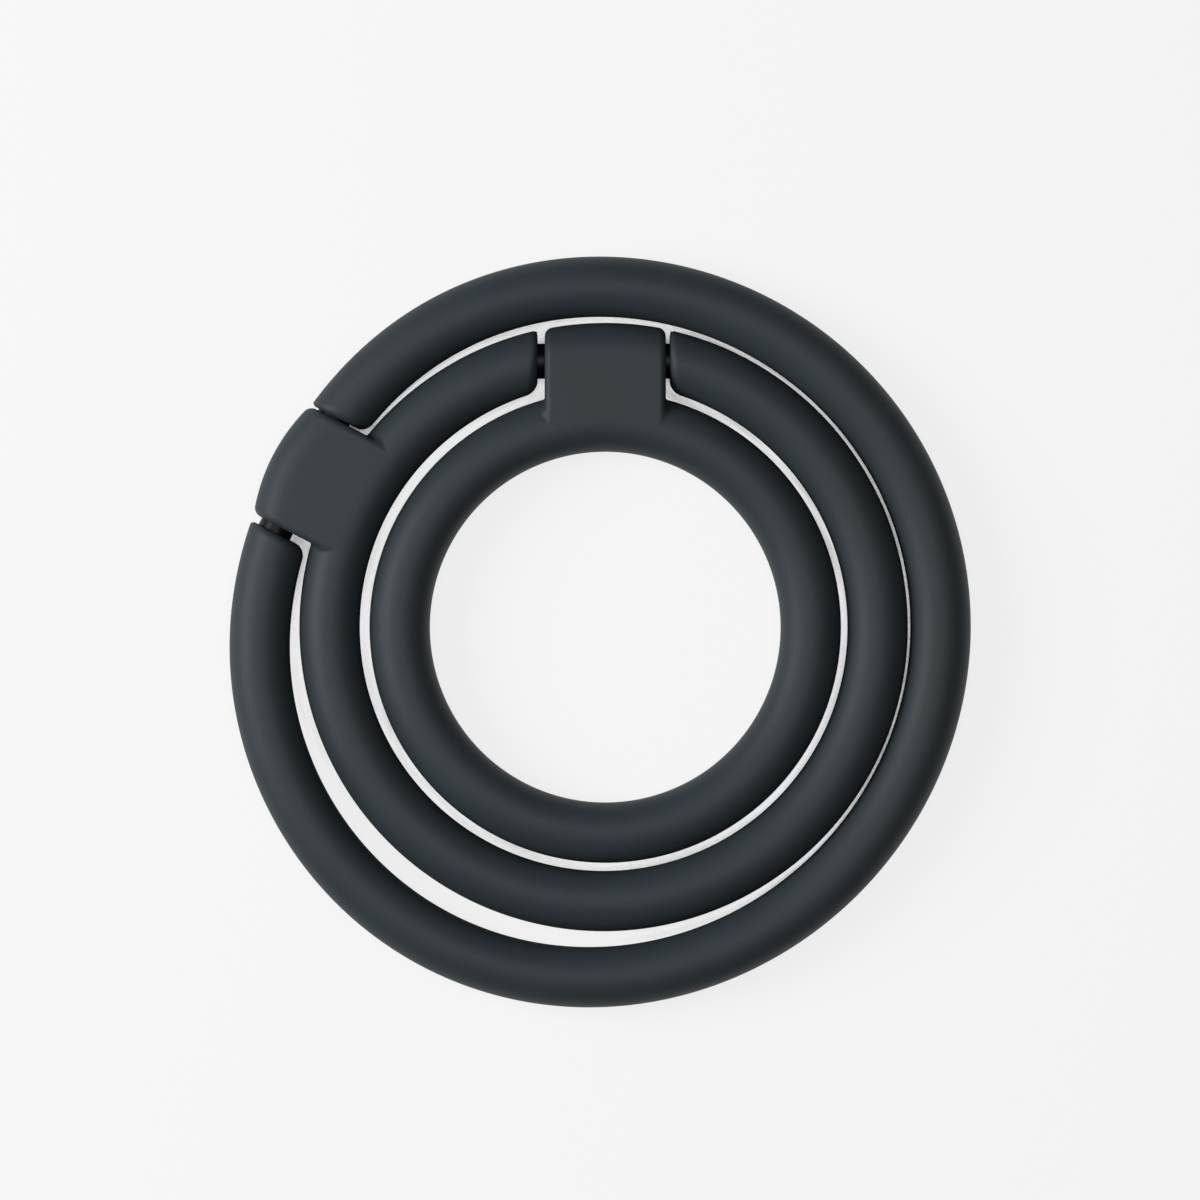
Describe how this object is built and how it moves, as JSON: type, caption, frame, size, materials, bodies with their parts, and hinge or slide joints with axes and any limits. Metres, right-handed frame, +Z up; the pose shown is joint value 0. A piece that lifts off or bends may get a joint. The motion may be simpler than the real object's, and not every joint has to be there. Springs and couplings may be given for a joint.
{
  "type": "folding trivet",
  "caption": "Folding table trivet of nested round-section silicone rings; flat hinge blocks on steel axles let each ring swing up and over to lie beside the next.",
  "frame": {"origin": "on the table, below the middle of the outer ring", "axes": "+Z up off the table; +Y from the middle of the rings to the inner hinge; +X to the right of it, seen from above"},
  "size_m": [0.184, 0.186, 0.015],
  "materials": {
    "silicone": "moulded silicone, smooth matte, dark slate grey",
    "core_nylon": "moulded glass-filled nylon, black",
    "bush_acetal": "turned acetal, black, satin",
    "axle_steel": "ground stainless steel rod"
  },
  "bodies": {
    "middle_ring": {"middle_cover": "silicone", "middle_core_upper": "core_nylon", "middle_core_lower": "core_nylon", "inner_hinge_bush_left": "bush_acetal", "inner_hinge_bush_right": "bush_acetal", "outer_hinge_axle": "axle_steel"},
    "inner_ring": {"inner_cover": "silicone", "inner_core_upper": "core_nylon", "inner_core_lower": "core_nylon", "inner_hinge_axle": "axle_steel"},
    "outer_ring": {"outer_cover": "silicone", "outer_core_upper": "core_nylon", "outer_core_lower": "core_nylon", "outer_hinge_bush_left": "bush_acetal", "outer_hinge_bush_right": "bush_acetal"}
  },
  "joints": [
    {"name": "inner_hinge", "type": "hinge", "parent": "middle_ring", "child": "inner_ring", "pos_m": [0.001, 0.06626, 0.0075], "axis": [-1, 0, 0], "range_deg": [0, 95]},
    {"name": "outer_hinge", "type": "hinge", "parent": "middle_ring", "child": "outer_ring", "pos_m": [-0.07298, 0.03878, 0.0075], "axis": [-0.4617, -0.887, 0], "range_deg": [0, 180]}
  ]
}
